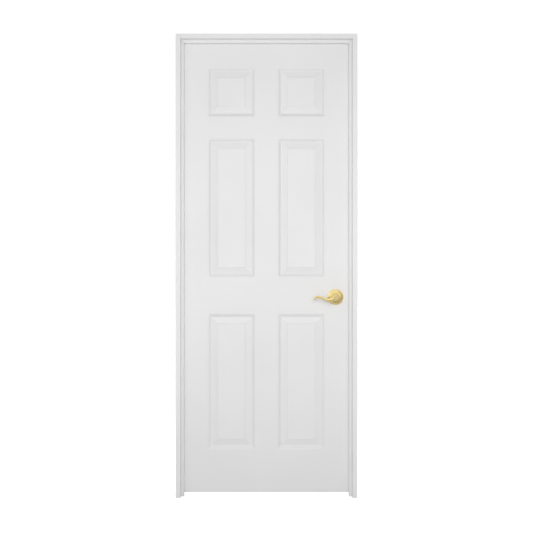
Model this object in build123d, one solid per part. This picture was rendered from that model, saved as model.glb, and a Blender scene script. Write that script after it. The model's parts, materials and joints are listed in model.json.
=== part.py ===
"""Six-panel moulded interior door, hung in its flat jamb frame, with butt hinges and a privacy lever set.

X runs across the doorway, Y through the wall and Z up. The origin is on the floor line, midway
between the jamb legs and midway through the depth of the jamb. The push side faces -Y, and the pull
side, where the hinge barrels show, faces +Y. The hinges are at -X and the handle at +X.
"""

import math
import os

from build123d import *

# Door slab.
SLAB_W = 762.0
SLAB_H = 2032.0
SLAB_T = 35.0
SKIN_T = 3.0
EDGE_EASE = 1.0
EDGE_STILE_W = 28.0
EDGE_RAIL_H = 28.0
UNDERCUT = 14.0

# Panel layout on the face, from the bottom of the slab up and from its sides in.
STILE_W = 117.0
MULLION_W = 102.0
BOTTOM_RAIL_H = 195.0
LOCK_RAIL_H = 164.0
FRIEZE_RAIL_H = 97.0
TOP_RAIL_H = 117.0
BOTTOM_PANEL_H = 611.0
TOP_PANEL_H = 221.0

# Moulding round each panel: widths run inward from the panel's edge, depths run in from the face.
QUIRK_D = 0.4
BEAD_W = 8.0
BEAD_D = 4.3
BEAD_BULGE = 0.8
COVE_W = 8.0
COVE_BULGE = 0.8
VALLEY_D = 8.5
VALLEY_W = 2.0
BEVEL_W = 25.5
BEVEL_TOP_D = 4.0
FIELD_STEP_W = 1.5
FIELD_D = 1.5

# Cardboard core.
CORE_BOARD_T = 1.2
CORE_PITCH = 90.0
CORE_EDGE_GAP = 6.0

# Lock block.
LOCK_BLOCK_W = 84.0
LOCK_BLOCK_H = 390.0

# Jamb frame and stops.
JAMB_T = 21.0
JAMB_D = 116.0
JAMB_EASE_R = 1.5
SIDE_GAP = 3.0
TOP_GAP = 3.0
DOOR_SETBACK = 1.0
STOP_T = 13.0
STOP_W = 32.0
STOP_GAP = 1.0
STOP_EASE_R = 2.0

# Fits.
SCREW_FIT = 0.05
RUNNING_FIT = 0.05
HUB_FIT = 0.1
SQUARE_FIT = 0.05
LOOSE_FIT = 0.3

# Butt hinges: heights are the middles of the hinges above the bottom of the slab.
HINGE_H = 89.0
HINGE_TOP_DROP = 222.0
HINGE_BOTTOM_RISE = 299.0
LEAF_T = 2.2
LEAF_DEPTH = 29.5
LEAF_CORNER_R = 15.9
LEAF_HALF_OPEN = 44.5
KNUCKLES = 5
KNUCKLE_GAP = 0.2
PIN_R = 2.95
PIN_HEAD_R = 4.6
PIN_HEAD_H = 2.6
PIN_TIP_H = 2.0
LEAF_SCREW_END_INSET = 12.5
LEAF_SCREW_END_DEPTH = 10.0
LEAF_SCREW_MID_DEPTH = 18.5

# Wood screws and brads.
HINGE_SCREW_L = 19.0
PLATE_SCREW_L = 19.0
HEAD_SCREW_L = 50.0
WOOD_HEAD_R = 4.2
WOOD_SHANK_R = 2.1
WOOD_TIP_L = 4.0
RECESS_W = 0.9
RECESS_SPAN = 4.4
RECESS_D = 1.3
HEAD_SCREWS_PER_SIDE = 3
HEAD_SCREW_INSET = 20.0
BRAD_R = 0.8
BRAD_L = 28.0
BRAD_SET = 1.5
SIDE_BRAD_COUNT = 5
HEAD_BRAD_COUNT = 3
BRAD_END_INSET = 120.0

# Handle position and bores.
BACKSET = 70.0
HANDLE_RISE = 881.0
CROSS_BORE_R = 27.0
EDGE_BORE_R = 12.7

# Tubular latch.
FACEPLATE_W = 25.4
FACEPLATE_H = 57.0
FACEPLATE_T = 2.4
FACEPLATE_CORNER_R = 6.35
PLATE_SCREW_SPACING = 41.3
BOLT_THROW = 12.0
BOLT_H = 15.0
BOLT_W = 11.0
BOLT_BODY_L = 25.0
BOLT_TIP_LAND = 2.0
BOLT_EASE_R = 1.2
CASE_R = 11.2
CASE_WALL = 1.4
CASE_L = 45.6
CASE_END_T = 2.0
TAIL_R = 2.0
FORK_T = 1.5
FORK_H = 18.0
FORK_INNER_W = 12.0
FORK_REAR_L = 13.0
YOKE_W = 8.0
YOKE_T = 2.4
YOKE_CLEAR = 0.6
HOOK_RISE = 8.0
CAM_HUB_R = 6.3
CAM_FINGER_W = 4.0
CAM_FINGER_R = 13.0
CAM_FINGER_T = 6.0
SPRING_WIRE = 1.0
SPRING_TURNS = 6
SPRING_R = 5.6

# Strike plate.
STRIKE_T = 2.0
STRIKE_H = 57.0
STRIKE_DEPTH = 32.5
STRIKE_CORNER_R = 6.35
STRIKE_HOLE_FIT = 0.9
STRIKE_LIP_H = 29.0
STRIKE_LIP_R = 8.0
STRIKE_LIP_TURN = 50.0
POCKET_FIT = 1.0
POCKET_DEPTH = 16.0

# Rosettes and what they cover: heights run out from the face of the door.
ROSE_R = 36.0
ROSE_RIM_H = 2.0
ROSE_RIM_TOP_H = 3.6
ROSE_RIM_TOP_R = 33.0
ROSE_COVE_R = 27.0
ROSE_COVE_H = 7.2
ROSE_STEP_R = 25.0
ROSE_STEP_H = 8.4
ROSE_DISH_R = 19.0
ROSE_DISH_H = 8.8
ROSE_RING_R = 17.0
ROSE_TOP_H = 11.5
ROSE_WALL = 1.5
PLATE_R = 30.0
PLATE_T = 1.6
COLLAR_R = 10.6
COLLAR_BORE_R = 6.6
COLLAR_H = 9.0
ROSE_SPRING_R = 15.5
ROSE_SPRING_WIRE = 1.2
ROSE_SPRING_TURNS = 2
ROSE_SPRING_PITCH = 1.8
POST_OFFSET = 21.0
POST_R = 2.8
THROUGH_SCREW_R = 2.0
THROUGH_HEAD_R = 3.6
THROUGH_HEAD_H = 1.8
THROUGH_ENGAGE = 12.0

# Levers.
NECK_R = 12.6
NECK_START_H = 2.4
NECK_TOP_H = 12.5
WAIST_R = 10.4
WAIST_H = 26.0
HUB_R = 12.4
HUB_H = 49.0
HUB_FACE_R = 9.4
HUB_EASE = 1.0
LEVER_PROJECTION = 60.0
HUB_DISH_D = 0.8
HUB_DISH_R = 7.2
ARM_TIP_R = 5.0
ARM_TIP_REACH = 2.6
SPINDLE_SQ = 8.0
SPINDLE_BORE_R = 2.4
SPINDLE_REACH = 42.0
SET_SCREW_R = 2.5
SET_SCREW_L = 6.0
SET_SCREW_H = 30.0
SET_SCREW_SOCKET = 1.2

# Arm centre line and half sizes, station by station: along the arm from the hub's axis, up from
# it, out from the door's face, half height and half thickness, then the direction that it runs in.
ARM_STATIONS = (
    (4.0, -4.5, 49.0, 10.6, 7.6, -22.0),
    (16.0, -9.8, 49.4, 9.4, 6.9, -22.0),
    (31.0, -13.6, 48.9, 7.9, 6.0, -4.0),
    (47.0, -9.9, 47.8, 6.6, 5.4, 26.0),
    (63.0, -2.4, 46.8, 5.7, 5.0, 21.0),
    (77.0, 1.0, 46.2, 5.2, 4.7, 5.0),
    (88.0, -0.5, 45.6, 5.0, 4.5, -28.0),
    (94.5, -6.0, 45.0, 4.9, 4.4, -62.0),
)

# Privacy turn.
RELEASE_HOLE_R = 1.9
TURN_SHAFT_R = 3.9
TURN_SHAFT_GAP = 1.0
TURN_CAP_R = 7.0
TURN_CAP_T = 1.6
TURN_THUMB_L = 20.0
TURN_THUMB_W = 5.0
TURN_THUMB_H = 9.0
TURN_THUMB_EASE_R = 1.8
LOCK_BAR_W = 4.0
LOCK_BAR_T = 2.0
LOCK_BAR_INSET = 2.0

# Places worked out from the sizes above.
SLAB_X = SLAB_W / 2
JAMB_X = SLAB_X + SIDE_GAP
OUTER_X = JAMB_X + JAMB_T
PULL_Y = JAMB_D / 2 - DOOR_SETBACK
PUSH_Y = PULL_Y - SLAB_T
MID_Y = (PULL_Y + PUSH_Y) / 2
CORE_Y0 = PUSH_Y + SKIN_T
CORE_Y1 = PULL_Y - SKIN_T
STOP_Y1 = PUSH_Y - STOP_GAP
STOP_Y0 = STOP_Y1 - STOP_W
SLAB_Z0 = UNDERCUT
SLAB_Z1 = SLAB_Z0 + SLAB_H
HEAD_Z = SLAB_Z1 + TOP_GAP
FRAME_H = HEAD_Z + JAMB_T
RING_W = BEAD_W + COVE_W + VALLEY_W + BEVEL_W + FIELD_STEP_W
PANEL_W = SLAB_X - STILE_W - MULLION_W / 2
PANEL_X = MULLION_W / 2 + PANEL_W / 2
PIN_X = -(SLAB_X + JAMB_X) / 2
LEAF_Y0 = PULL_Y - LEAF_DEPTH
PIN_Y = LEAF_Y0 + LEAF_HALF_OPEN
PIN_HOLE_R = PIN_R + RUNNING_FIT
KNUCKLE_R = PIN_HOLE_R + LEAF_T
HANDLE_X = SLAB_X - BACKSET
HANDLE_Z = SLAB_Z0 + HANDLE_RISE
FACEPLATE_X = SLAB_X - FACEPLATE_T
STRIKE_LIP_Y = JAMB_D / 2 - STRIKE_LIP_R * math.sin(math.radians(STRIKE_LIP_TURN))
CASE_X0 = FACEPLATE_X - CASE_L
BOLT_X0 = SLAB_X - BOLT_BODY_L
PUSH = -1
PULL = 1


def block(x0, x1, y0, y1, z0, z1):
    """A box between two corners."""
    return Pos((x0 + x1) / 2, (y0 + y1) / 2, (z0 + z1) / 2) * Box(x1 - x0, y1 - y0, z1 - z0)


def along(x, y, z, direction):
    """The plane at a point whose own Z runs along a direction."""
    return Plane(origin=(x, y, z), z_dir=direction)


def rod(x, y, z, direction, radius, length):
    """A cylinder that starts at a point and runs along a direction."""
    base = Cylinder(radius, length, align=(Align.CENTER, Align.CENTER, Align.MIN))
    return along(x, y, z, direction) * base


def fuse(pieces):
    """One solid made from pieces that meet."""
    return pieces[0] + pieces[1:]


def cut(shape, tools):
    """A shape with every tool taken out of it."""
    return shape - tools


def spread(low, high, count):
    """Evenly spaced places from low to high."""
    if count == 1:
        return [(low + high) / 2]
    return [low + (high - low) * i / (count - 1) for i in range(count)]


def revolved(points, grow=0.0):
    """A solid turned about Z from (radius, height) points, with its radii grown by a clearance."""
    outline = [(r + grow if r > 0 else 0.0, h) for r, h in points]
    face = make_face(Plane.XZ * Polyline(*outline, close=True))
    return revolve(face, Axis.Z, 360)


# Fasteners.


def screw_outline(length):
    """Half section of a countersunk wood screw whose head lies at height 0."""
    head_h = WOOD_HEAD_R - WOOD_SHANK_R
    return [
        (0.0, 0.0),
        (WOOD_HEAD_R, 0.0),
        (WOOD_SHANK_R, -head_h),
        (WOOD_SHANK_R, WOOD_TIP_L - length),
        (0.0, -length),
    ]


def wood_screw(plane, length):
    """A countersunk screw with a cross recess, its head facing out along the plane."""
    body = revolved(screw_outline(length))
    for turn in (0, 90):
        slot = Box(RECESS_SPAN, RECESS_W, 2 * RECESS_D)
        body -= Rot(0, 0, turn) * slot
    return plane * body


def screw_hole(plane, length):
    """The space that a wood screw fills, with its clearance."""
    return plane * revolved(screw_outline(length + SCREW_FIT), SCREW_FIT)


# Panel layout.


def panel_rows():
    """Lowest and highest Z of each row of panels, from the bottom row up."""
    bottom = SLAB_Z0 + BOTTOM_RAIL_H
    middle = bottom + BOTTOM_PANEL_H + LOCK_RAIL_H
    top_row_z1 = SLAB_Z1 - TOP_RAIL_H
    top_row_z0 = top_row_z1 - TOP_PANEL_H
    return [
        (bottom, bottom + BOTTOM_PANEL_H),
        (middle, top_row_z0 - FRIEZE_RAIL_H),
        (top_row_z0, top_row_z1),
    ]


def panels():
    """Middle X, lowest Z and highest Z of each of the panels."""
    return [(side * PANEL_X, z0, z1) for side in (-1, 1) for z0, z1 in panel_rows()]


def moulding_section(depth):
    """The moulding's line from the panel's edge in to the field, at a depth behind the face."""
    quirk = (0.0, QUIRK_D + depth)
    bead = (BEAD_W, BEAD_D + depth)
    cove = (BEAD_W + COVE_W, VALLEY_D + depth)
    valley = (BEAD_W + COVE_W + VALLEY_W, VALLEY_D + depth)
    crest = (RING_W - FIELD_STEP_W, BEVEL_TOP_D + depth)
    field = (RING_W, FIELD_D + depth)
    return [
        ThreePointArc(quirk, bulged(quirk, bead, BEAD_BULGE), bead),
        ThreePointArc(bead, bulged(bead, cove, -COVE_BULGE), cove),
        Line(cove, valley),
        Line(valley, crest),
        Line(crest, field),
    ]


def bulged(start, end, rise):
    """The middle of an arc that stands off its chord, towards the face where rise is positive."""
    run, drop = end[0] - start[0], end[1] - start[1]
    length = math.hypot(run, drop)
    return (
        (start[0] + end[0]) / 2 + rise * drop / length,
        (start[1] + end[1]) / 2 - rise * run / length,
    )


def moulding_side(length, panel_half):
    """One side of a panel's moulding, mitred at both ends, lying along X with its edge at Y 0."""
    front = moulding_section(0.0)
    back = moulding_section(SKIN_T)
    ends = [
        Line((0.0, QUIRK_D), (0.0, QUIRK_D + SKIN_T)),
        Line((RING_W, FIELD_D), (RING_W, FIELD_D + SKIN_T)),
    ]
    section = Plane.YZ * make_face(front + back + ends)
    strip = Pos(-length / 2, 0, 0) * extrude(section, length)
    reach = min(length / 2, panel_half)
    mitre = Polyline(
        (-length / 2, 0),
        (length / 2, 0),
        (length / 2 - reach, reach),
        (reach - length / 2, reach),
        close=True,
    ) if length / 2 > reach else Polyline((-length / 2, 0), (length / 2, 0), (0, reach), close=True)
    return strip & extrude(make_face(mitre), VALLEY_D + 2 * SKIN_T)


def panel_moulding(width, height):
    """The moulding and raised field of a panel, in X and Y, with depth along Z."""
    half = min(width, height) / 2
    across = moulding_side(width, half)
    upright = moulding_side(height, half)
    sides = [
        Pos(0, -height / 2, 0) * across,
        Pos(0, height / 2, 0) * (Rot(0, 0, 180) * across),
        Pos(width / 2, 0, 0) * (Rot(0, 0, 90) * upright),
        Pos(-width / 2, 0, 0) * (Rot(0, 0, -90) * upright),
    ]
    field = Pos(0, 0, FIELD_D + SKIN_T / 2) * Box(
        width - 2 * RING_W, height - 2 * RING_W, SKIN_T
    )
    return fuse([field] + sides)


def skin_plate():
    """The flat of a skin in X and Y, with its face at Z 0 and eased edges, before its panels."""
    plate = Pos(0, (SLAB_Z0 + SLAB_Z1) / 2, SKIN_T / 2) * Box(SLAB_W, SLAB_H, SKIN_T)
    edges = plate.edges().filter_by(Axis.Y).group_by(Axis.Z)[0]
    plate = chamfer(edges, EDGE_EASE)
    for x, z0, z1 in panels():
        plate -= Pos(x, (z0 + z1) / 2, 0) * Box(PANEL_W, z1 - z0, 3 * SKIN_T)
    return plate


def skin_in_plan():
    """A moulded skin in X and Y, with its face at Z 0 and its back at positive Z."""
    pieces = [skin_plate()]
    for x, z0, z1 in panels():
        pieces.append(Pos(x, (z0 + z1) / 2, 0) * panel_moulding(PANEL_W, z1 - z0))
    return fuse(pieces)


def door_skins():
    """The two moulded skins, bored for the handle, with the pull side notched for the hinges."""
    flat = skin_in_plan()
    push = Plane(origin=(0, PUSH_Y, 0), x_dir=(-1, 0, 0), z_dir=(0, 1, 0)) * flat
    pull = Plane(origin=(0, PULL_Y, 0), x_dir=(1, 0, 0), z_dir=(0, -1, 0)) * flat
    bore = rod(HANDLE_X, PUSH_Y - SLAB_T, HANDLE_Z, (0, 1, 0), CROSS_BORE_R, 3 * SLAB_T)
    mortises = [leaf_mortise(PULL, z) for z in hinge_heights()]
    return {"door_skin_push": push - bore, "door_skin_pull": cut(pull, [bore] + mortises)}


# Hinges.


def hinge_heights():
    """Middle Z of each hinge, from the bottom one up."""
    bottom = SLAB_Z0 + HINGE_BOTTOM_RISE
    top = SLAB_Z1 - HINGE_TOP_DROP
    return [bottom, (bottom + top) / 2, top]


def leaf_x0(side):
    """Lowest X of a leaf: the frame's leaf lies in the jamb and the door's in the slab's edge."""
    return -JAMB_X - LEAF_T if side == PUSH else -SLAB_X


def leaf_plate(side, z, y1):
    """The flat of a leaf, with round corners, from its inner edge out to Y y1."""
    depth = y1 - LEAF_Y0
    outline = Pos((LEAF_Y0 + y1) / 2, z) * Rectangle(depth, HINGE_H)
    inner = outline.vertices().group_by(Axis.X)[0]
    outline = fillet(inner, LEAF_CORNER_R)
    return Pos(leaf_x0(side), 0, 0) * extrude(Plane.YZ * outline, LEAF_T)


def leaf_mortise(side, z):
    """The shallow recess that a leaf is let into, open at the pull side."""
    return leaf_plate(side, z, JAMB_D / 2 + SLAB_T)


def leaf_screw_planes(side, z):
    """Where the screws of a leaf start, facing across the gap between door and jamb."""
    x = -JAMB_X if side == PUSH else -SLAB_X
    end = HINGE_H / 2 - LEAF_SCREW_END_INSET
    places = [
        (LEAF_SCREW_END_DEPTH, -end),
        (LEAF_SCREW_MID_DEPTH, 0.0),
        (LEAF_SCREW_END_DEPTH, end),
    ]
    facing = (-side, 0, 0)
    return [along(x, LEAF_Y0 + y, z + rise, facing) for y, rise in places]


def hinge_leaf(side, z):
    """A leaf with its share of the knuckles: the frame's leaf has those at both ends."""
    span = HINGE_H / KNUCKLES
    own = 0 if side == PUSH else 1
    leaf = leaf_plate(side, z, PIN_Y)
    for i in range(KNUCKLES):
        z0 = z - HINGE_H / 2 + i * span
        if i % 2 == own:
            low = z0 + (KNUCKLE_GAP / 2 if i else 0.0)
            high = z0 + span - (KNUCKLE_GAP / 2 if i < KNUCKLES - 1 else 0.0)
            leaf += rod(PIN_X, PIN_Y, low, (0, 0, 1), KNUCKLE_R, high - low)
        else:
            low = z0 - KNUCKLE_GAP / 2
            leaf -= rod(PIN_X, PIN_Y, low, (0, 0, 1), KNUCKLE_R + LOOSE_FIT, span + KNUCKLE_GAP)
    leaf -= rod(PIN_X, PIN_Y, z - HINGE_H, (0, 0, 1), PIN_HOLE_R, 2 * HINGE_H)
    return cut(leaf, [screw_hole(p, HINGE_SCREW_L) for p in leaf_screw_planes(side, z)])


def hinge_pin(z):
    """A loose pin with a domed head that rests on the top knuckle."""
    top = z + HINGE_H / 2
    shank = rod(PIN_X, PIN_Y, z - HINGE_H / 2 - PIN_TIP_H, (0, 0, 1), PIN_R, HINGE_H + PIN_TIP_H)
    head = rod(PIN_X, PIN_Y, top, (0, 0, 1), PIN_HEAD_R, PIN_HEAD_H)
    rim = head.edges().filter_by(GeomType.CIRCLE).group_by(Axis.Z)[-1]
    return shank + fillet(rim, PIN_HEAD_H / 2)


def hinges():
    """Leaves and pins, and the screws of both sides as two groups."""
    nodes = {}
    screws = {PUSH: [], PULL: []}
    for name, z in zip(("bottom", "middle", "top"), hinge_heights()):
        nodes["hinge_leaf_frame_" + name] = hinge_leaf(PUSH, z)
        nodes["hinge_leaf_door_" + name] = hinge_leaf(PULL, z)
        nodes["hinge_pin_" + name] = hinge_pin(z)
        for side in (PUSH, PULL):
            screws[side] += [wood_screw(p, HINGE_SCREW_L) for p in leaf_screw_planes(side, z)]
    nodes["hinge_screws_frame"] = Compound(children=screws[PUSH])
    nodes["hinge_screws_door"] = Compound(children=screws[PULL])
    return nodes


# Jamb frame.


def jamb_leg(side):
    """A jamb leg standing on the floor, with the arrises towards the doorway eased."""
    inner, outer = side * JAMB_X, side * OUTER_X
    leg = block(min(inner, outer), max(inner, outer), -JAMB_D / 2, JAMB_D / 2, 0.0, FRAME_H)
    edges = leg.edges().filter_by(Axis.Z).sort_by(Axis.X)
    facing = edges[2:] if side < 0 else edges[:2]
    return fillet(facing, JAMB_EASE_R)


def jamb_head():
    """The head, cut between the legs, with its lower arrises eased."""
    head = block(-JAMB_X, JAMB_X, -JAMB_D / 2, JAMB_D / 2, HEAD_Z, FRAME_H)
    return fillet(head.edges().filter_by(Axis.X).group_by(Axis.Z)[0], JAMB_EASE_R)


def head_screw_planes():
    """Screws through the legs into the ends of the head."""
    low = HEAD_SCREW_INSET - JAMB_D / 2
    z = (HEAD_Z + FRAME_H) / 2
    return [
        along(side * OUTER_X, y, z, (side, 0, 0))
        for side in (-1, 1)
        for y in spread(low, -low, HEAD_SCREWS_PER_SIDE)
    ]


def stop_side(side):
    """A side stop, from the floor to the head, eased where it faces the doorway."""
    inner, outer = side * (JAMB_X - STOP_T), side * JAMB_X
    stop = block(min(inner, outer), max(inner, outer), STOP_Y0, STOP_Y1, 0.0, HEAD_Z)
    edges = stop.edges().filter_by(Axis.Z).sort_by(Axis.X)
    facing = (edges[2:] if side < 0 else edges[:2]).sort_by(Axis.Y)[:1]
    return fillet(facing, STOP_EASE_R)


def stop_head():
    """The head stop, cut between the side stops."""
    reach = JAMB_X - STOP_T
    stop = block(-reach, reach, STOP_Y0, STOP_Y1, HEAD_Z - STOP_T, HEAD_Z)
    lower = stop.edges().filter_by(Axis.X).group_by(Axis.Z)[0].sort_by(Axis.Y)[:1]
    return fillet(lower, STOP_EASE_R)


def brad_planes():
    """Brads through the stops, with their heads set below the surface."""
    y = (STOP_Y0 + STOP_Y1) / 2
    face = JAMB_X - STOP_T + BRAD_SET
    heights = spread(BRAD_END_INSET, HEAD_Z - BRAD_END_INSET, SIDE_BRAD_COUNT)
    places = [along(side * face, y, z, (side, 0, 0)) for side in (-1, 1) for z in heights]
    reach = JAMB_X - BRAD_END_INSET
    top = HEAD_Z - STOP_T + BRAD_SET
    return places + [along(x, y, top, (0, 0, 1)) for x in spread(-reach, reach, HEAD_BRAD_COUNT)]


def brad(plane, grow=0.0):
    """A headless brad that starts at the plane and runs along it."""
    base = Cylinder(BRAD_R + grow, BRAD_L + grow, align=(Align.CENTER, Align.CENTER, Align.MIN))
    return plane * base


def jamb_frame():
    """Legs, head and stops with their fasteners, and the strike plate."""
    head_holes = [screw_hole(p, HEAD_SCREW_L) for p in head_screw_planes()]
    brad_holes = [brad(p, SCREW_FIT) for p in brad_planes()]
    leaf_cuts = []
    for z in hinge_heights():
        leaf_cuts.append(leaf_mortise(PUSH, z))
        leaf_cuts += [screw_hole(p, HINGE_SCREW_L) for p in leaf_screw_planes(PUSH, z)]
    side_brads = 2 * SIDE_BRAD_COUNT
    left_brads, right_brads = brad_holes[:SIDE_BRAD_COUNT], brad_holes[SIDE_BRAD_COUNT:side_brads]
    left_screws, right_screws = head_holes[:HEAD_SCREWS_PER_SIDE], head_holes[HEAD_SCREWS_PER_SIDE:]
    return {
        "jamb_leg_hinge": cut(jamb_leg(-1), left_screws + left_brads + leaf_cuts),
        "jamb_leg_strike": cut(jamb_leg(1), right_screws + right_brads + strike_cuts()),
        "jamb_head": cut(jamb_head(), head_holes + brad_holes[side_brads:]),
        "jamb_head_screws": Compound(
            children=[wood_screw(p, HEAD_SCREW_L) for p in head_screw_planes()]
        ),
        "stop_hinge_side": cut(stop_side(-1), left_brads),
        "stop_strike_side": cut(stop_side(1), right_brads),
        "stop_head": cut(stop_head(), brad_holes[side_brads:]),
        "stop_brads": Compound(children=[brad(p) for p in brad_planes()]),
        "strike_plate": strike_plate(),
        "strike_screws": Compound(
            children=[wood_screw(p, PLATE_SCREW_L) for p in strike_screw_planes()]
        ),
    }


# Strike.


def strike_outline(y1):
    """The strike's flat, round at its inner corners, in the plane of the jamb's face."""
    y0 = JAMB_D / 2 - STRIKE_DEPTH
    outline = Pos((y0 + y1) / 2, HANDLE_Z) * Rectangle(y1 - y0, STRIKE_H)
    outline = fillet(outline.vertices().group_by(Axis.X)[0], STRIKE_CORNER_R)
    return Pos(JAMB_X, 0, 0) * extrude(Plane.YZ * outline, STRIKE_T)


def strike_screw_planes():
    """Where the two strike screws start, facing the doorway."""
    half = PLATE_SCREW_SPACING / 2
    return [along(JAMB_X, MID_Y, HANDLE_Z + s * half, (-1, 0, 0)) for s in (-1, 1)]


def bolt_window(x0, x1, fit):
    """A straight hole for the latch bolt, with a clearance on every side of it."""
    half_w, half_h = BOLT_W / 2 + fit, BOLT_H / 2 + fit
    return block(x0, x1, MID_Y - half_w, MID_Y + half_w, HANDLE_Z - half_h, HANDLE_Z + half_h)


def strike_lip(outer_r):
    """The strike's lip, curled into the jamb from its own face, out to a radius."""

    def at(radius, turn):
        angle = math.radians(180.0 - turn)
        x = JAMB_X + STRIKE_LIP_R + radius * math.cos(angle)
        return (x, STRIKE_LIP_Y + radius * math.sin(angle))

    inner_r = STRIKE_LIP_R - STRIKE_T
    half = STRIKE_LIP_TURN / 2
    section = make_face(
        [
            ThreePointArc(at(outer_r, 0), at(outer_r, half), at(outer_r, STRIKE_LIP_TURN)),
            Line(at(outer_r, STRIKE_LIP_TURN), at(inner_r, STRIKE_LIP_TURN)),
            ThreePointArc(at(inner_r, STRIKE_LIP_TURN), at(inner_r, half), at(inner_r, 0)),
            Line(at(inner_r, 0), at(outer_r, 0)),
        ]
    )
    return Pos(0, 0, HANDLE_Z - STRIKE_LIP_H / 2) * extrude(section, STRIKE_LIP_H)


def strike_plate():
    """A flat strike with a hole for the bolt and a lip that curls back to the jamb's edge."""
    plate = strike_outline(STRIKE_LIP_Y) + strike_lip(STRIKE_LIP_R)
    plate -= bolt_window(JAMB_X - STRIKE_T, JAMB_X + 2 * STRIKE_T, STRIKE_HOLE_FIT)
    return cut(plate, [screw_hole(p, PLATE_SCREW_L) for p in strike_screw_planes()])


def strike_cuts():
    """What the strike takes out of its jamb leg: its mortise, the bolt's pocket, its screws."""
    seat = [strike_outline(STRIKE_LIP_Y), strike_lip(STRIKE_LIP_R + 2 * STRIKE_T)]
    holes = [screw_hole(p, PLATE_SCREW_L) for p in strike_screw_planes()]
    pocket = bolt_window(JAMB_X, JAMB_X + POCKET_DEPTH, STRIKE_HOLE_FIT + POCKET_FIT)
    return seat + [pocket] + holes


# Slab core.


def faceplate_planes():
    """Where the two faceplate screws start, facing out of the door's edge."""
    half = PLATE_SCREW_SPACING / 2
    return [along(SLAB_X, MID_Y, HANDLE_Z + s * half, (1, 0, 0)) for s in (-1, 1)]


def faceplate_blank():
    """The faceplate's outline, let in flush with the edge of the door."""
    outline = Pos(MID_Y, HANDLE_Z) * RectangleRounded(
        FACEPLATE_W, FACEPLATE_H, FACEPLATE_CORNER_R
    )
    return Pos(FACEPLATE_X, 0, 0) * extrude(Plane.YZ * outline, FACEPLATE_T)


def handle_cuts():
    """The two crossing bores for the lock set, the faceplate's mortise and its screw holes."""
    cross = rod(HANDLE_X, CORE_Y0, HANDLE_Z, (0, 1, 0), CROSS_BORE_R, CORE_Y1 - CORE_Y0)
    edge = rod(HANDLE_X, MID_Y, HANDLE_Z, (1, 0, 0), EDGE_BORE_R, BACKSET)
    holes = [screw_hole(p, PLATE_SCREW_L) for p in faceplate_planes()]
    return [cross, edge, faceplate_blank()] + holes


def zigzag(x0, x1, z0, z1, y0, y1):
    """A folded cardboard strip on its edge between the skins, running up from z0 to z1."""
    folds = max(2, round((z1 - z0) / CORE_PITCH))
    right = [x0, x1 - CORE_BOARD_T]
    line = [(right[i % 2], z0 + (z1 - z0) * i / folds) for i in range(folds + 1)]
    outline = line + [(x + CORE_BOARD_T, z) for x, z in reversed(line)]
    face = make_face(Polyline(*outline, close=True))
    strip = extrude(face, y1 - y0)
    return Pos(0, y1, 0) * (Rot(90, 0, 0) * strip)


def core_strips():
    """Cardboard strips that hold the skins apart behind the fields, the mullion and the stiles."""
    gap = CORE_EDGE_GAP
    field_half = PANEL_W / 2 - RING_W - gap
    sunk = FIELD_D
    strips = []
    for x, z0, z1 in panels():
        low, high = z0 + RING_W + gap, z1 - RING_W - gap
        strips.append(
            zigzag(x - field_half, x + field_half, low, high, CORE_Y0 + sunk, CORE_Y1 - sunk)
        )
    low, high = SLAB_Z0 + EDGE_RAIL_H + gap, SLAB_Z1 - EDGE_RAIL_H - gap
    mullion = MULLION_W / 2 - gap
    strips.append(zigzag(-mullion, mullion, low, high, CORE_Y0, CORE_Y1))
    inner, outer = SLAB_X - STILE_W + gap, SLAB_X - EDGE_STILE_W - gap
    strips.append(zigzag(-outer, -inner, low, high, CORE_Y0, CORE_Y1))
    block_z0, block_z1 = lock_block_span()
    strips.append(zigzag(inner, outer, low, block_z0 - gap, CORE_Y0, CORE_Y1))
    strips.append(zigzag(inner, outer, block_z1 + gap, high, CORE_Y0, CORE_Y1))
    return Compound(children=strips)


def lock_block_span():
    """Lowest and highest Z of the lock block, which is centred on the handle."""
    return HANDLE_Z - LOCK_BLOCK_H / 2, HANDLE_Z + LOCK_BLOCK_H / 2


def slab_core():
    """The solid wood edges and the lock block between the skins, and the cardboard core."""
    inner_x = SLAB_X - EDGE_STILE_W
    leaf_cuts = []
    for z in hinge_heights():
        leaf_cuts.append(leaf_mortise(PULL, z))
        leaf_cuts += [screw_hole(p, HINGE_SCREW_L) for p in leaf_screw_planes(PULL, z)]
    hinge_stile = block(-SLAB_X, -inner_x, CORE_Y0, CORE_Y1, SLAB_Z0, SLAB_Z1)
    lock_stile = block(inner_x, SLAB_X, CORE_Y0, CORE_Y1, SLAB_Z0, SLAB_Z1)
    z0, z1 = lock_block_span()
    lock_block = block(inner_x - LOCK_BLOCK_W, inner_x, CORE_Y0, CORE_Y1, z0, z1)
    rail_z0, rail_z1 = SLAB_Z0 + EDGE_RAIL_H, SLAB_Z1 - EDGE_RAIL_H
    return {
        "stile_hinge": cut(hinge_stile, leaf_cuts),
        "stile_lock": cut(lock_stile, handle_cuts()),
        "rail_bottom": block(-inner_x, inner_x, CORE_Y0, CORE_Y1, SLAB_Z0, rail_z0),
        "rail_top": block(-inner_x, inner_x, CORE_Y0, CORE_Y1, rail_z1, SLAB_Z1),
        "lock_block": cut(lock_block, handle_cuts()),
        "core_strips": core_strips(),
    }


# Latch.


def coil(radius, wire, pitch, turns):
    """A coil of square wire about Z, starting on the XY plane."""
    path = Helix(pitch, pitch * turns, radius)
    section = Plane(origin=path @ 0, z_dir=path % 0) * Rectangle(wire, wire)
    return Pos(0, 0, wire / 2) * sweep(section, path=path, is_frenet=True)


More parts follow.
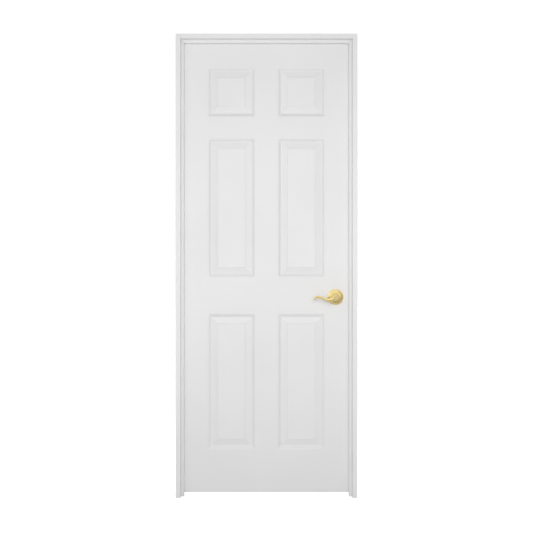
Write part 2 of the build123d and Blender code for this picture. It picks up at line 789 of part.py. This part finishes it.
def latch_case():
    """The latch tube behind the faceplate, with a fork that carries the cam."""
    z = HANDLE_Z
    tube = rod(CASE_X0, MID_Y, z, (1, 0, 0), CASE_R, CASE_L)
    tube -= rod(CASE_X0 + CASE_END_T, MID_Y, z, (1, 0, 0), CASE_R - CASE_WALL, CASE_L)
    tube -= rod(CASE_X0, MID_Y, z, (1, 0, 0), TAIL_R + LOOSE_FIT, CASE_END_T)
    rear = HANDLE_X - FORK_REAR_L
    for side in (-1, 1):
        near, far = FORK_INNER_W / 2, FORK_INNER_W / 2 + FORK_T
        y0, y1 = sorted((MID_Y + side * near, MID_Y + side * far))
        tube += block(rear, CASE_X0, y0, y1, z - FORK_H / 2, z + FORK_H / 2)
    hub = rod(HANDLE_X, MID_Y - SLAB_T / 2, z, (0, 1, 0), CAM_HUB_R + HUB_FIT, SLAB_T)
    return tube - hub


def latch_faceplate():
    """The plate let into the door's edge, through which the bolt slides."""
    plate = faceplate_blank() - bolt_window(FACEPLATE_X, SLAB_X, LOOSE_FIT)
    return cut(plate, [screw_hole(p, PLATE_SCREW_L) for p in faceplate_planes()])


def latch_bolt():
    """The spring bolt with its bevel towards the stop, and the tail that the cam pulls."""
    half_w, half_h = BOLT_W / 2, BOLT_H / 2
    tip = SLAB_X + BOLT_THROW
    outline = Polyline(
        (BOLT_X0, MID_Y - half_w),
        (SLAB_X, MID_Y - half_w),
        (tip, MID_Y + half_w - BOLT_TIP_LAND),
        (tip, MID_Y + half_w),
        (BOLT_X0, MID_Y + half_w),
        close=True,
    )
    bolt = Pos(0, 0, HANDLE_Z - half_h) * extrude(make_face(outline), BOLT_H)
    bolt = fillet(bolt.edges().filter_by(Axis.X).group_by(Axis.Y)[-1], BOLT_EASE_R)
    yoke_x = CASE_X0 - YOKE_CLEAR - YOKE_T
    tail = rod(yoke_x, MID_Y, HANDLE_Z, (1, 0, 0), TAIL_R, BOLT_X0 - yoke_x)
    top = HANDLE_Z + CAM_FINGER_R + YOKE_CLEAR
    hook_x = HANDLE_X - CAM_FINGER_W / 2 - YOKE_CLEAR
    y0, y1 = MID_Y - YOKE_W / 2, MID_Y + YOKE_W / 2
    yoke = [
        block(yoke_x, yoke_x + YOKE_T, y0, y1, HANDLE_Z - TAIL_R, top + YOKE_T),
        block(hook_x - YOKE_T, yoke_x + YOKE_T, y0, y1, top, top + YOKE_T),
        block(hook_x - YOKE_T, hook_x, y0, y1, HANDLE_Z + HOOK_RISE, top),
    ]
    return fuse([bolt, tail] + yoke)


def latch_spring():
    """The coil round the bolt's tail, between the end of the case and the bolt."""
    room = BOLT_X0 - CASE_X0 - CASE_END_T
    pitch = (room - SPRING_WIRE) / SPRING_TURNS
    spring = coil(SPRING_R, SPRING_WIRE, pitch, SPRING_TURNS)
    return along(CASE_X0 + CASE_END_T, MID_Y, HANDLE_Z, (1, 0, 0)) * spring


def latch_cam():
    """The hub that the spindle turns, with the finger that draws the bolt back."""
    half = FORK_INNER_W / 2 + FORK_T
    hub = rod(HANDLE_X, MID_Y - half, HANDLE_Z, (0, 1, 0), CAM_HUB_R, 2 * half)
    finger = block(
        HANDLE_X - CAM_FINGER_W / 2,
        HANDLE_X + CAM_FINGER_W / 2,
        MID_Y - CAM_FINGER_T / 2,
        MID_Y + CAM_FINGER_T / 2,
        HANDLE_Z,
        HANDLE_Z + CAM_FINGER_R,
    )
    return hub + finger - spindle_space(SQUARE_FIT)


def latch_nodes():
    """Everything in the edge of the door at the handle."""
    return {
        "latch_case": latch_case(),
        "latch_faceplate": latch_faceplate(),
        "latch_faceplate_screws": Compound(
            children=[wood_screw(p, PLATE_SCREW_L) for p in faceplate_planes()]
        ),
        "latch_bolt": latch_bolt(),
        "latch_spring": latch_spring(),
        "latch_cam": latch_cam(),
    }


# Handle set: modelled with Z out of the door's face, then laid on each side of the door.


def face_plane(side):
    """The plane on a face of the door, at the handle's axis, with its X along the arm."""
    y = PUSH_Y if side == PUSH else PULL_Y
    return Plane(origin=(HANDLE_X, y, HANDLE_Z), x_dir=(-1, 0, 0), z_dir=(0, side, 0))


def on_face(side, shape):
    """A handle piece laid on a face: the plane's Y points down on one side, so it is mirrored."""
    upright = shape if side == PULL else mirror(shape, Plane.XZ)
    return face_plane(side) * upright


def rosette():
    """A stepped round cover, open behind, with a hole for the lever's neck."""
    wall = ROSE_WALL
    hole = NECK_R + LOOSE_FIT
    rim_mid = (ROSE_R - (ROSE_R - ROSE_RIM_TOP_R) * 0.25, ROSE_RIM_TOP_H - 0.35)
    cove_mid = bulged((ROSE_RIM_TOP_R, ROSE_RIM_TOP_H), (ROSE_COVE_R, ROSE_COVE_H), -0.7)
    outer = [
        Line((ROSE_R, 0.0), (ROSE_R, ROSE_RIM_H)),
        ThreePointArc((ROSE_R, ROSE_RIM_H), rim_mid, (ROSE_RIM_TOP_R, ROSE_RIM_TOP_H)),
        ThreePointArc((ROSE_RIM_TOP_R, ROSE_RIM_TOP_H), cove_mid, (ROSE_COVE_R, ROSE_COVE_H)),
        Line((ROSE_COVE_R, ROSE_COVE_H), (ROSE_STEP_R, ROSE_STEP_H)),
        Line((ROSE_STEP_R, ROSE_STEP_H), (ROSE_DISH_R, ROSE_DISH_H)),
        Line((ROSE_DISH_R, ROSE_DISH_H), (ROSE_RING_R, ROSE_TOP_H)),
        Line((ROSE_RING_R, ROSE_TOP_H), (hole, ROSE_TOP_H)),
    ]
    inner_points = [
        (hole, ROSE_TOP_H),
        (hole, ROSE_DISH_H - wall),
        (ROSE_DISH_R, ROSE_DISH_H - wall),
        (ROSE_STEP_R - wall / 2, ROSE_STEP_H - wall),
        (ROSE_RIM_TOP_R - wall, ROSE_RIM_TOP_H - wall),
        (ROSE_R - wall, ROSE_RIM_H - wall / 2),
        (ROSE_R - wall, 0.0),
        (ROSE_R, 0.0),
    ]
    section = Plane.XZ * make_face(outer + [Polyline(*inner_points)])
    return revolve(section, Axis.Z, 360)


def post_places():
    """Where the two through screws pass, above and below the handle's axis."""
    return [(0.0, s * POST_OFFSET) for s in (-1, 1)]


def mounting_plate(posts):
    """The disc under a rosette, with a collar that carries the lever."""
    plate = Cylinder(PLATE_R, PLATE_T, align=(Align.CENTER, Align.CENTER, Align.MIN))
    plate += Cylinder(COLLAR_R, COLLAR_H, align=(Align.CENTER, Align.CENTER, Align.MIN))
    plate -= Cylinder(COLLAR_BORE_R, 4 * COLLAR_H)
    deep = SLAB_T - THROUGH_ENGAGE
    for x, y in post_places():
        if posts:
            post = Cylinder(POST_R, deep, align=(Align.CENTER, Align.CENTER, Align.MAX))
            plate += Pos(x, y, 0) * post
        plate -= Pos(x, y, 0) * Cylinder(THROUGH_SCREW_R + SCREW_FIT, 4 * SLAB_T)
    return plate


def through_screw():
    """A machine screw that clamps the two mounting plates together through the door."""
    head = Pos(0, 0, PLATE_T) * Cylinder(
        THROUGH_HEAD_R, THROUGH_HEAD_H, align=(Align.CENTER, Align.CENTER, Align.MIN)
    )
    rim = head.edges().filter_by(GeomType.CIRCLE).group_by(Axis.Z)[-1]
    head = fillet(rim, THROUGH_HEAD_H / 2)
    for turn in (0, 90):
        slot = Pos(0, 0, PLATE_T + THROUGH_HEAD_H) * Box(RECESS_SPAN, RECESS_W, THROUGH_HEAD_H)
        head -= Rot(0, 0, turn) * slot
    length = PLATE_T + THROUGH_ENGAGE * 2
    shank = Pos(0, 0, PLATE_T) * Cylinder(
        THROUGH_SCREW_R, length, align=(Align.CENTER, Align.CENTER, Align.MAX)
    )
    return head + shank


def rose_spring():
    """The coil under a rosette that brings the lever back level, with a leg towards the neck."""
    spring = coil(ROSE_SPRING_R, ROSE_SPRING_WIRE, ROSE_SPRING_PITCH, ROSE_SPRING_TURNS)
    inner = NECK_R + LOOSE_FIT
    top = ROSE_SPRING_PITCH * ROSE_SPRING_TURNS
    wire = ROSE_SPRING_WIRE
    leg = block(inner, ROSE_SPRING_R, -wire / 2, wire / 2, top, top + wire)
    return Pos(0, 0, PLATE_T) * (spring + leg)


def spindle_space(fit):
    """The square that the spindle fills, through the whole handle set, with a clearance."""
    half = SPINDLE_SQ / 2 + fit
    reach = SPINDLE_REACH + fit
    return block(
        HANDLE_X - half,
        HANDLE_X + half,
        PUSH_Y - reach,
        PULL_Y + reach,
        HANDLE_Z - half,
        HANDLE_Z + half,
    )


def spindle():
    """The square bar between the levers, bored for the lock bar."""
    length = SLAB_T + 2 * SPINDLE_REACH
    start = PUSH_Y - SPINDLE_REACH
    return spindle_space(0.0) - rod(
        HANDLE_X, start, HANDLE_Z, (0, 1, 0), SPINDLE_BORE_R, length
    )


def arm_section(station):
    """An oval across the arm at one station."""
    a, b, c, half_height, half_thickness, slope = station
    turn = math.radians(slope)
    plane = Plane(
        origin=(a, b, c), x_dir=(0, 0, 1), z_dir=(math.cos(turn), math.sin(turn), 0)
    )
    return plane * Ellipse(half_thickness, half_height)


def lever_arm():
    """The waved arm: it dips out of the hub, rises to a crest and curls down at its end."""
    arm = loft([arm_section(station) for station in ARM_STATIONS])
    a, b, c, half_height, half_thickness, slope = ARM_STATIONS[-1]
    turn = math.radians(slope)
    reach = ARM_TIP_REACH
    tip = Pos(a + reach * math.cos(turn), b + reach * math.sin(turn), c) * Sphere(ARM_TIP_R)
    return arm + tip


def lever_hub():
    """The turned neck and hub of a lever, hollow at its foot where it rides on the collar."""
    rim_h = LEVER_PROJECTION - HUB_EASE
    outline = [
        Line((0.0, LEVER_PROJECTION), (0.0, COLLAR_H + LOOSE_FIT)),
        Line((0.0, COLLAR_H + LOOSE_FIT), (COLLAR_R + HUB_FIT, COLLAR_H + LOOSE_FIT)),
        Line((COLLAR_R + HUB_FIT, COLLAR_H + LOOSE_FIT), (COLLAR_R + HUB_FIT, NECK_START_H)),
        Line((COLLAR_R + HUB_FIT, NECK_START_H), (NECK_R, NECK_START_H)),
        Line((NECK_R, NECK_START_H), (NECK_R, NECK_TOP_H)),
        Spline(
            (NECK_R, NECK_TOP_H),
            (WAIST_R, WAIST_H),
            (HUB_R, HUB_H),
            (HUB_FACE_R, rim_h),
            tangents=((0, 1), (-1.2, 1)),
        ),
        Line((HUB_FACE_R, rim_h), (HUB_FACE_R - HUB_EASE, LEVER_PROJECTION)),
        Line((HUB_FACE_R - HUB_EASE, LEVER_PROJECTION), (0.0, LEVER_PROJECTION)),
    ]
    return revolve(Plane.XZ * make_face(outline), Axis.Z, 360)


def lever(side):
    """A lever with its socket for the spindle, its set screw hole and a round dish in its face."""
    body = lever_hub() + lever_arm()
    dish_h = LEVER_PROJECTION - HUB_DISH_D
    body -= Pos(0, 0, dish_h) * Cylinder(
        HUB_DISH_R, 2 * HUB_DISH_D, align=(Align.CENTER, Align.CENTER, Align.MIN)
    )
    if side == PULL:
        bore_r = TURN_SHAFT_R + HUB_FIT
    else:
        bore_r = RELEASE_HOLE_R
    body -= Pos(0, 0, SPINDLE_REACH) * Cylinder(
        bore_r, LEVER_PROJECTION, align=(Align.CENTER, Align.CENTER, Align.MIN)
    )
    return on_face(side, body) - spindle_space(SQUARE_FIT) - set_screw_space(side)


def set_screw_space(side):
    """The threaded hole for a set screw, from below the hub up to the spindle."""
    y = (PUSH_Y if side == PUSH else PULL_Y) + side * SET_SCREW_H
    top = HANDLE_Z - SPINDLE_SQ / 2
    return rod(HANDLE_X, y, top, (0, 0, -1), SET_SCREW_R + SCREW_FIT, HUB_R)


def set_screw(side):
    """A grub screw that bears on the spindle, with a square socket in its lower end."""
    y = (PUSH_Y if side == PUSH else PULL_Y) + side * SET_SCREW_H
    top = HANDLE_Z - SPINDLE_SQ / 2
    screw = rod(HANDLE_X, y, top, (0, 0, -1), SET_SCREW_R, SET_SCREW_L)
    low = top - SET_SCREW_L
    half = SET_SCREW_SOCKET
    return screw - block(HANDLE_X - half, HANDLE_X + half, y - half, y + half, low, low + 2 * half)


def turn_button():
    """The inside turn: a shaft in the hub, a cap on its face and an oval thumb piece."""
    seat = LEVER_PROJECTION - HUB_DISH_D
    shaft = Pos(0, 0, SPINDLE_REACH + TURN_SHAFT_GAP) * Cylinder(
        TURN_SHAFT_R, seat - SPINDLE_REACH, align=(Align.CENTER, Align.CENTER, Align.MIN)
    )
    cap = Pos(0, 0, seat + RUNNING_FIT) * Cylinder(
        TURN_CAP_R, TURN_CAP_T, align=(Align.CENTER, Align.CENTER, Align.MIN)
    )
    thumb = Pos(0, 0, seat + TURN_CAP_T) * extrude(
        SlotOverall(TURN_THUMB_L, TURN_THUMB_W), TURN_THUMB_H
    )
    rim = thumb.edges().group_by(Axis.Z)[-1]
    thumb = fillet(rim, TURN_THUMB_EASE_R)
    slot = Pos(0, 0, SPINDLE_REACH) * Box(
        LOCK_BAR_T + 2 * SCREW_FIT, LOCK_BAR_W + 2 * SCREW_FIT, LEVER_PROJECTION - SPINDLE_REACH
    )
    return on_face(PULL, shaft + cap + thumb - slot)


def lock_bar():
    """The flat bar through the spindle, which the turn button holds and the release tool meets."""
    seat = PULL_Y + (SPINDLE_REACH + LEVER_PROJECTION) / 2
    start = PUSH_Y - SPINDLE_REACH + LOCK_BAR_INSET
    half_t, half_w = LOCK_BAR_T / 2, LOCK_BAR_W / 2
    return block(
        HANDLE_X - half_t, HANDLE_X + half_t, start, seat, HANDLE_Z - half_w, HANDLE_Z + half_w
    )


def handle_nodes():
    """Rosettes, plates, springs, levers, spindle and privacy turn."""
    clamp = through_screw()
    return {
        "rosette_push": on_face(PUSH, rosette()),
        "rosette_pull": on_face(PULL, rosette()),
        "mounting_plate_push": on_face(PUSH, mounting_plate(True)),
        "mounting_plate_pull": on_face(PULL, mounting_plate(False)),
        "through_screws": Compound(
            children=[on_face(PULL, Pos(x, y, 0) * clamp) for x, y in post_places()]
        ),
        "rose_spring_push": on_face(PUSH, rose_spring()),
        "rose_spring_pull": on_face(PULL, rose_spring()),
        "lever_push": lever(PUSH),
        "lever_pull": lever(PULL),
        "lever_set_screws": Compound(children=[set_screw(side) for side in (PUSH, PULL)]),
        "spindle": spindle(),
        "turn_button": turn_button(),
        "lock_bar": lock_bar(),
    }


def main():
    """Writes each piece to its own file."""
    nodes = {}
    nodes.update(jamb_frame())
    nodes.update(hinges())
    nodes.update(door_skins())
    nodes.update(slab_core())
    nodes.update(latch_nodes())
    nodes.update(handle_nodes())
    os.makedirs("parts", exist_ok=True)
    for name, shape in nodes.items():
        export_step(shape, "parts/" + name + ".step")


main()
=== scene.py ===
"""Looks for the six-panel door: a material for each CAD node, floor, light and camera."""

import json
import math

import bpy
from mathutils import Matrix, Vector

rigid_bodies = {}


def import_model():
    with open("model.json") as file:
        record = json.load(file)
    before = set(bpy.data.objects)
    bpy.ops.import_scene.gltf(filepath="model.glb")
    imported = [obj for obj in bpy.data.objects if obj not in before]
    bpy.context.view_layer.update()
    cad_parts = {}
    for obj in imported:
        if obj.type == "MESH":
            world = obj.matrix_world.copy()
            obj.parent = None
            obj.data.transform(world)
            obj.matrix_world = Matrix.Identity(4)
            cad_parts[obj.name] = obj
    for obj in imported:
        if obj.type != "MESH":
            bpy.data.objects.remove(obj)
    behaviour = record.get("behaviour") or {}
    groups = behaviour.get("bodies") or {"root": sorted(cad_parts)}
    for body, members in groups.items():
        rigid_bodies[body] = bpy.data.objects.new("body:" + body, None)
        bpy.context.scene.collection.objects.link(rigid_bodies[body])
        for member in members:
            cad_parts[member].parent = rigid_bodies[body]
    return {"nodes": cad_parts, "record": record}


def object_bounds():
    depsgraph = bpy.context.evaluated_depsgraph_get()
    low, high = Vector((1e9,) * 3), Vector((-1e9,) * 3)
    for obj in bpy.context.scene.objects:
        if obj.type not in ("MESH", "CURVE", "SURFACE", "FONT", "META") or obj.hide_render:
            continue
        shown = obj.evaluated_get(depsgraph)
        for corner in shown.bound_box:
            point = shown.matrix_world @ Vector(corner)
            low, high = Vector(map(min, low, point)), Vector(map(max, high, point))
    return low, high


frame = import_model()
cad_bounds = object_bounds()

# Camera, level with the middle of the picture, which is square.
# Its distance is from the front edges of the jamb, where a pixel covers METRES_PER_PIXEL.
CAMERA_DISTANCE = 6.2
CAMERA_HEIGHT = 1.0326
CAMERA_REACH = 100.0
PICTURE_PIXELS = 533
METRES_PER_PIXEL = 0.004455
SENSOR_WIDTH = 36.0

# Lamps. The key and the glint stand in front of the jamb, at a distance from its front edges.
# GLINT_PLACE is (across, distance, up), and BACK_PLACE is (across, behind, up) for the lamp on +X.
# All but the key, which is level, are aimed at AIM_HEIGHT.
KEY_ACROSS = 0.02
KEY_DISTANCE = 2.7
KEY_HEIGHT = 1.35
KEY_WIDTH = 2.1
KEY_TALL = 1.8
KEY_POWER = 39.5
KEY_COLOUR = (1.0, 0.995, 0.985)
GLINT_PLACE = (-1.5, 2.5, 1.8)
GLINT_WIDTH = 0.5
GLINT_TALL = 0.55
GLINT_POWER = 2.4
BACK_PLACE = (2.3, 2.3, 1.4)
BACK_SIZE = 1.8
BACK_POWER = 24.0
AIM_HEIGHT = 1.0
WHITE = (1.0, 1.0, 1.0)

# World and floor. AMBIENT is the world's strength on surfaces, and FLOOR_LIFT is what the camera
# sees the floor give off.
AMBIENT = 0.43
FLOOR_SIZE = 60.0
FLOOR_COLOUR = (0.74, 0.74, 0.74)
FLOOR_SHADE = 0.98
FLOOR_LIFT = 0.70

# Materials.

# Scales of object coordinates: the same all ways, drawn out along Z (under 1) or squeezed (over 1).
EVEN = (1.0, 1.0, 1.0)
BRUSHED = (1.0, 1.0, 0.05)
GROWN = (1.0, 1.0, 0.06)
FLECKED = (1.0, 1.0, 3.0)
ROLLED = (1.0, 1.0, 12.0)


def new_material(name):
    """A material with its tree and principled shader, and a function that adds nodes to it."""
    material = bpy.data.materials.new(name)
    material.use_nodes = True
    tree = material.node_tree
    shader = tree.nodes["Principled BSDF"]

    def add(kind, **values):
        node = tree.nodes.new(kind)
        for key, value in values.items():
            setattr(node, key, value)
        return node

    return material, tree, shader, add


def coordinates(tree, add, scale):
    """Object coordinates, stretched by a scale along each axis."""
    source = add("ShaderNodeTexCoord")
    mapping = add("ShaderNodeMapping")
    mapping.inputs["Scale"].default_value = scale
    tree.links.new(source.outputs["Object"], mapping.inputs["Vector"])
    return mapping.outputs["Vector"]


def noise(tree, add, vector, scale, detail, roughness=0.5):
    """A noise texture's value along a vector."""
    node = add("ShaderNodeTexNoise")
    node.inputs["Scale"].default_value = scale
    node.inputs["Detail"].default_value = detail
    node.inputs["Roughness"].default_value = roughness
    tree.links.new(vector, node.inputs["Vector"])
    return node.outputs["Fac"]


def ramp(tree, add, value, low, high, start=0.3, end=0.7):
    """A colour that runs from low to high as a value runs from start to end."""
    node = add("ShaderNodeValToRGB")
    node.color_ramp.elements[0].position = start
    node.color_ramp.elements[0].color = (*low, 1.0)
    node.color_ramp.elements[1].position = end
    node.color_ramp.elements[1].color = (*high, 1.0)
    tree.links.new(value, node.inputs["Fac"])
    return node.outputs["Color"]


def spread_value(tree, add, value, low, high):
    """A value that runs from low to high as another runs from 0 to 1."""
    node = add("ShaderNodeMapRange")
    node.inputs["To Min"].default_value = low
    node.inputs["To Max"].default_value = high
    tree.links.new(value, node.inputs["Value"])
    return node.outputs["Result"]


def bump(tree, add, shader, height, strength, distance):
    """Roughens a shader's surface with a height."""
    node = add("ShaderNodeBump")
    node.inputs["Strength"].default_value = strength
    node.inputs["Distance"].default_value = distance
    tree.links.new(height, node.inputs["Height"])
    tree.links.new(node.outputs["Normal"], shader.inputs["Normal"])


def paint(name, low, high, stroke):
    """Satin white paint: faint mottling, patchy gloss and a fine stipple scaled by the stroke."""
    material, tree, shader, add = new_material(name)
    mottle = noise(tree, add, coordinates(tree, add, EVEN), scale=2.3, detail=2.0)
    tree.links.new(ramp(tree, add, mottle, low, high), shader.inputs["Base Color"])
    stipple = noise(
        tree, add, coordinates(tree, add, stroke), scale=420.0, detail=4.0, roughness=0.6
    )
    sheen = noise(tree, add, coordinates(tree, add, EVEN), scale=9.0, detail=3.0)
    roughness = spread_value(tree, add, sheen, low=0.36, high=0.5)
    tree.links.new(roughness, shader.inputs["Roughness"])
    bump(tree, add, shader, stipple, strength=0.10, distance=0.0004)
    return material


def brass(name, low, high, rough_low, rough_high):
    """Brass with a faint drift of colour and fine wear in its gloss."""
    material, tree, shader, add = new_material(name)
    drift = noise(tree, add, coordinates(tree, add, EVEN), scale=38.0, detail=3.0)
    tree.links.new(ramp(tree, add, drift, low, high), shader.inputs["Base Color"])
    wear = noise(tree, add, coordinates(tree, add, EVEN), scale=260.0, detail=5.0, roughness=0.65)
    roughness = spread_value(tree, add, wear, rough_low, rough_high)
    tree.links.new(roughness, shader.inputs["Roughness"])
    shader.inputs["Metallic"].default_value = 1.0
    bump(tree, add, shader, wear, strength=0.04, distance=0.0002)
    return material


def steel(name):
    """Zinc-plated steel with a cloudy bluish grey and short rolling marks."""
    material, tree, shader, add = new_material(name)
    cloud = noise(tree, add, coordinates(tree, add, EVEN), scale=60.0, detail=4.0)
    colour = ramp(tree, add, cloud, low=(0.50, 0.52, 0.55), high=(0.68, 0.69, 0.70))
    tree.links.new(colour, shader.inputs["Base Color"])
    marks = noise(tree, add, coordinates(tree, add, ROLLED), scale=300.0, detail=3.0)
    roughness = spread_value(tree, add, marks, low=0.28, high=0.46)
    tree.links.new(roughness, shader.inputs["Roughness"])
    shader.inputs["Metallic"].default_value = 1.0
    bump(tree, add, shader, marks, strength=0.06, distance=0.0002)
    return material


def wood(name):
    """Bare softwood with growth rings drawn out along Z."""
    material, tree, shader, add = new_material(name)
    wave = add("ShaderNodeTexWave", wave_type="RINGS", rings_direction="Z")
    wave.inputs["Scale"].default_value = 40.0
    wave.inputs["Distortion"].default_value = 6.0
    wave.inputs["Detail"].default_value = 3.0
    tree.links.new(coordinates(tree, add, GROWN), wave.inputs["Vector"])
    rings = wave.outputs["Fac"]
    colour = ramp(
        tree, add, rings, low=(0.50, 0.33, 0.17), high=(0.70, 0.52, 0.31), start=0.1, end=0.9
    )
    tree.links.new(colour, shader.inputs["Base Color"])
    shader.inputs["Roughness"].default_value = 0.7
    bump(tree, add, shader, rings, strength=0.2, distance=0.0003)
    return material


def cardboard(name):
    """Plain brown board with short flecks."""
    material, tree, shader, add = new_material(name)
    flecks = noise(
        tree, add, coordinates(tree, add, FLECKED), scale=180.0, detail=6.0, roughness=0.7
    )
    colour = ramp(tree, add, flecks, low=(0.34, 0.24, 0.14), high=(0.50, 0.37, 0.23))
    tree.links.new(colour, shader.inputs["Base Color"])
    shader.inputs["Roughness"].default_value = 0.9
    bump(tree, add, shader, flecks, strength=0.3, distance=0.0003)
    return material


# The hinges share one brass colour with their screws, the strike, the faceplate and the bolt.
# It is a little darker than the handles'.
PLATED = {"low": (0.86, 0.67, 0.30), "high": (0.91, 0.74, 0.36)}

MATERIALS = {
    "door_paint": paint(
        "door_paint", low=(0.800, 0.800, 0.806), high=(0.825, 0.825, 0.831), stroke=EVEN
    ),
    "trim_paint": paint(
        "trim_paint", low=(0.800, 0.801, 0.810), high=(0.828, 0.829, 0.838), stroke=BRUSHED
    ),
    "bare_wood": wood("bare_wood"),
    "cardboard": cardboard("cardboard"),
    "polished_brass": brass(
        "polished_brass",
        low=(0.90, 0.71, 0.31),
        high=(0.95, 0.78, 0.38),
        rough_low=0.12,
        rough_high=0.22,
    ),
    "hinge_brass": brass("hinge_brass", **PLATED, rough_low=0.20, rough_high=0.32),
    "plated_brass": brass("plated_brass", **PLATED, rough_low=0.18, rough_high=0.30),
    "zinc_steel": steel("zinc_steel"),
}


def dress_cad_nodes():
    """Gives every CAD node the material of its slot."""
    for subpart in frame["record"]["subparts"]:
        node = frame["nodes"][subpart["node"]]
        node.data.materials.clear()
        node.data.materials.append(MATERIALS[subpart["material_slot"]])


# Floor, light and camera.


def floor_material():
    """A pale matt floor that reads as white to the camera away from the object's shadow."""
    material, tree, shader, add = new_material("floor")
    mottle = noise(tree, add, coordinates(tree, add, EVEN), scale=3.0, detail=2.0)
    low = tuple(c * FLOOR_SHADE for c in FLOOR_COLOUR)
    tree.links.new(ramp(tree, add, mottle, low, FLOOR_COLOUR), shader.inputs["Base Color"])
    shader.inputs["Roughness"].default_value = 0.9
    path = add("ShaderNodeLightPath")
    lift = add("ShaderNodeMath", operation="MULTIPLY")
    lift.inputs[1].default_value = FLOOR_LIFT
    tree.links.new(path.outputs["Is Camera Ray"], lift.inputs[0])
    shader.inputs["Emission Color"].default_value = (*WHITE, 1.0)
    tree.links.new(lift.outputs["Value"], shader.inputs["Emission Strength"])
    return material


def make_floor():
    """A wide pale floor under the legs."""
    bpy.ops.mesh.primitive_plane_add(size=FLOOR_SIZE, location=(0, 0, 0))
    floor = bpy.context.object
    floor.name = "floor"
    floor.data.materials.append(floor_material())


def make_world():
    """White to the camera and in reflections, and a soft even fill for the object."""
    world = bpy.data.worlds.new("studio")
    bpy.context.scene.world = world
    world.use_nodes = True
    tree = world.node_tree
    background = tree.nodes["Background"]
    path = tree.nodes.new("ShaderNodeLightPath")
    seen = path.outputs["Is Camera Ray"]
    for output in ("Is Glossy Ray", "Is Transmission Ray"):
        either = tree.nodes.new("ShaderNodeMath")
        either.operation = "MAXIMUM"
        tree.links.new(seen, either.inputs[0])
        tree.links.new(path.outputs[output], either.inputs[1])
        seen = either.outputs["Value"]
    strength = tree.nodes.new("ShaderNodeMapRange")
    strength.inputs["To Min"].default_value = AMBIENT
    strength.inputs["To Max"].default_value = 1.0
    tree.links.new(seen, strength.inputs["Value"])
    tree.links.new(strength.outputs["Result"], background.inputs["Strength"])
    background.inputs["Color"].default_value = (*WHITE, 1.0)


def aim(obj, target):
    """Points an object's -Z at a place."""
    direction = Vector(target) - obj.location
    obj.rotation_euler = direction.to_track_quat("-Z", "Y").to_euler()


def area_light(name, place, target, width, tall, power, colour=WHITE):
    """A soft rectangular lamp that the camera doesn't see."""
    data = bpy.data.lights.new(name, "AREA")
    data.shape = "RECTANGLE"
    data.size = width
    data.size_y = tall
    data.energy = power
    data.color = colour
    light = bpy.data.objects.new(name, data)
    bpy.context.collection.objects.link(light)
    light.location = place
    light.visible_camera = False
    aim(light, target)
    return light


def all_but_brass():
    """The meshes that the key lights: all but the brass ones, which it would burn out."""
    lit = bpy.data.collections.new("lit_by_key")
    for obj in bpy.context.scene.objects:
        if obj.type != "MESH":
            continue
        if not any("brass" in slot.name for slot in obj.data.materials if slot):
            lit.objects.link(obj)
    return lit


def make_lights():
    """A soft key near the camera's axis, a small lamp for glints on brass and two lamps behind."""
    front = cad_bounds[0][1]
    key = area_light(
        "key",
        place=(KEY_ACROSS, front - KEY_DISTANCE, KEY_HEIGHT),
        target=(KEY_ACROSS, front, KEY_HEIGHT),
        width=KEY_WIDTH,
        tall=KEY_TALL,
        power=KEY_POWER,
        colour=KEY_COLOUR,
    )
    key.light_linking.receiver_collection = all_but_brass()
    across, distance, up = GLINT_PLACE
    area_light(
        "glint",
        place=(across, front - distance, up),
        target=(0.0, front, AIM_HEIGHT),
        width=GLINT_WIDTH,
        tall=GLINT_TALL,
        power=GLINT_POWER,
    )
    across, behind, up = BACK_PLACE
    for side in (-1, 1):
        back = area_light(
            "back",
            place=(side * across, behind, up),
            target=(0.0, 0.0, AIM_HEIGHT),
            width=BACK_SIZE,
            tall=BACK_SIZE,
            power=BACK_POWER,
        )
        back.visible_glossy = False


def make_camera():
    """A level camera in front of the middle of the door."""
    data = bpy.data.cameras.new("camera")
    data.sensor_width = SENSOR_WIDTH
    data.lens = SENSOR_WIDTH * CAMERA_DISTANCE / (PICTURE_PIXELS * METRES_PER_PIXEL)
    data.clip_end = CAMERA_REACH
    camera = bpy.data.objects.new("camera", data)
    bpy.context.collection.objects.link(camera)
    camera.location = (0.0, cad_bounds[0][1] - CAMERA_DISTANCE, CAMERA_HEIGHT)
    camera.rotation_euler = (math.radians(90.0), 0.0, 0.0)
    bpy.context.scene.camera = camera


dress_cad_nodes()
make_floor()
make_world()
make_lights()
make_camera()
bpy.context.scene.view_settings.view_transform = "Standard"
